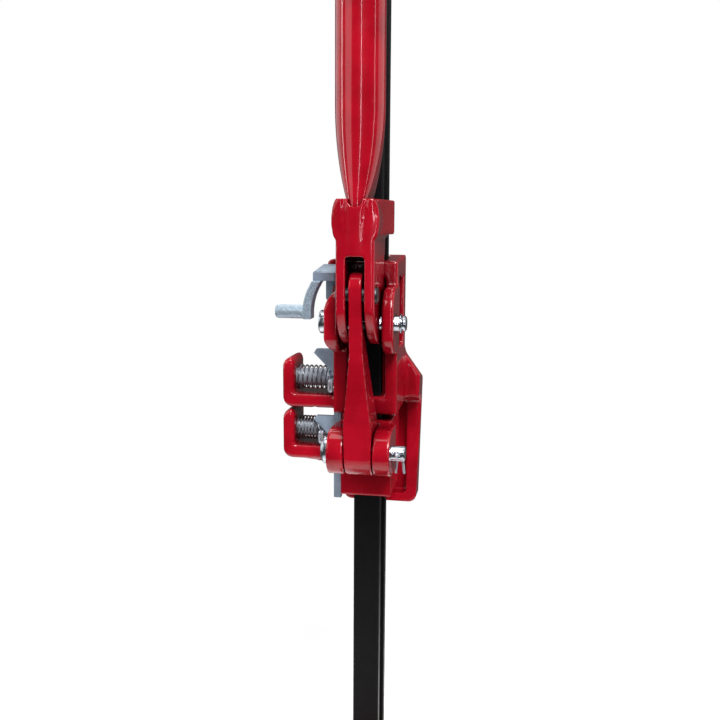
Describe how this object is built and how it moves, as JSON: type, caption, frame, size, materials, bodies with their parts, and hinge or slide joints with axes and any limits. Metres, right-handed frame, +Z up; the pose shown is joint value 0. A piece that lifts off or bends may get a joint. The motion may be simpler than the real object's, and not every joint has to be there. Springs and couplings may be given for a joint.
{
  "type": "high-lift jack",
  "caption": "Tall punched-bar farm jack with a climbing two-runner carriage, folding pump handle, sprung climbing pins, reversing lever, lifting toe, foot plate and top clamp.",
  "frame": {"origin": "middle of the foot plate's underside, on the rack bar's axis", "axes": "+Z up along the rack bar, +Y towards the lifting toe, the handle stands on the -Y side, the climbing pins and the reversing lever are on the -X side"},
  "size_m": [0.123, 0.212, 1.226],
  "materials": {
    "red_enamel": "gloss",
    "bar_black": "satin",
    "zinc_plate": "bright",
    "galvanised_steel": "satin",
    "plug_black": "matte"
  },
  "bodies": {
    "standard": {"rack_bar": "bar_black", "base_plate": "red_enamel", "base_pin": "zinc_plate", "base_pin_cotter": "zinc_plate", "top_clamp": "red_enamel", "top_clamp_bolt": "zinc_plate", "top_clamp_nut": "zinc_plate"},
    "carriage": {"large_runner": "red_enamel", "pivot_pin": "zinc_plate", "pivot_pin_ring": "zinc_plate", "upper_climbing_spring": "zinc_plate"},
    "stepper": {"small_runner": "red_enamel", "cross_pin": "zinc_plate", "cross_pin_cotter": "zinc_plate", "lower_climbing_spring": "zinc_plate"},
    "lever_arm": {"handle_socket": "red_enamel", "handle_tube": "red_enamel", "handle_plug": "plug_black", "socket_screw": "zinc_plate", "pitman_pin": "zinc_plate"},
    "link": {"pitman": "red_enamel"},
    "upper_pin": {"upper_climbing_pin": "zinc_plate", "upper_spring_washer": "zinc_plate", "upper_pin_cotter": "zinc_plate"},
    "lower_pin": {"lower_climbing_pin": "zinc_plate", "lower_spring_washer": "zinc_plate", "lower_pin_cotter": "zinc_plate"},
    "reverser": {"reversing_bar": "galvanised_steel", "reversing_lever": "galvanised_steel", "lever_rivet": "galvanised_steel"}
  },
  "joints": [
    {"name": "runner_travel", "type": "slide", "parent": "standard", "child": "carriage", "axis": [0, 0, 1], "range_m": [0, 0.684]},
    {"name": "handle_swing", "type": "hinge", "parent": "carriage", "child": "lever_arm", "pos_m": [0, -0.037, 0.405], "axis": [1, 0, 0], "range_deg": [0, 81]},
    {"name": "small_runner_stroke", "type": "slide", "parent": "carriage", "child": "stepper", "axis": [0, 0, -1], "range_m": [0, 0.0381]},
    {"name": "pitman_swing", "type": "hinge", "parent": "lever_arm", "child": "link", "pos_m": [0, -0.0581, 0.4255], "axis": [1, 0, 0], "range_deg": [-81, 0]},
    {"name": "reversing_latch", "type": "slide", "parent": "carriage", "child": "reverser", "axis": [0, 0, 1], "range_m": [0, 0.007]},
    {"name": "lower_pin_slide", "type": "slide", "parent": "stepper", "child": "lower_pin", "axis": [1, 0, 0], "range_m": [0, 0.007], "deforming": ["lower_climbing_spring"]},
    {"name": "upper_pin_slide", "type": "slide", "parent": "carriage", "child": "upper_pin", "axis": [1, 0, 0], "range_m": [-0.008, 0], "stiffness_N_per_m": 900, "springref_m": 0.01, "deforming": ["upper_climbing_spring"]}
  ],
  "couplings": [
    {"joint": "small_runner_stroke", "follows": "handle_swing", "m_per_rad": 0.02688},
    {"joint": "pitman_swing", "follows": "handle_swing", "ratio": -1},
    {"joint": "lower_pin_slide", "follows": "reversing_latch", "ratio": 1}
  ]
}
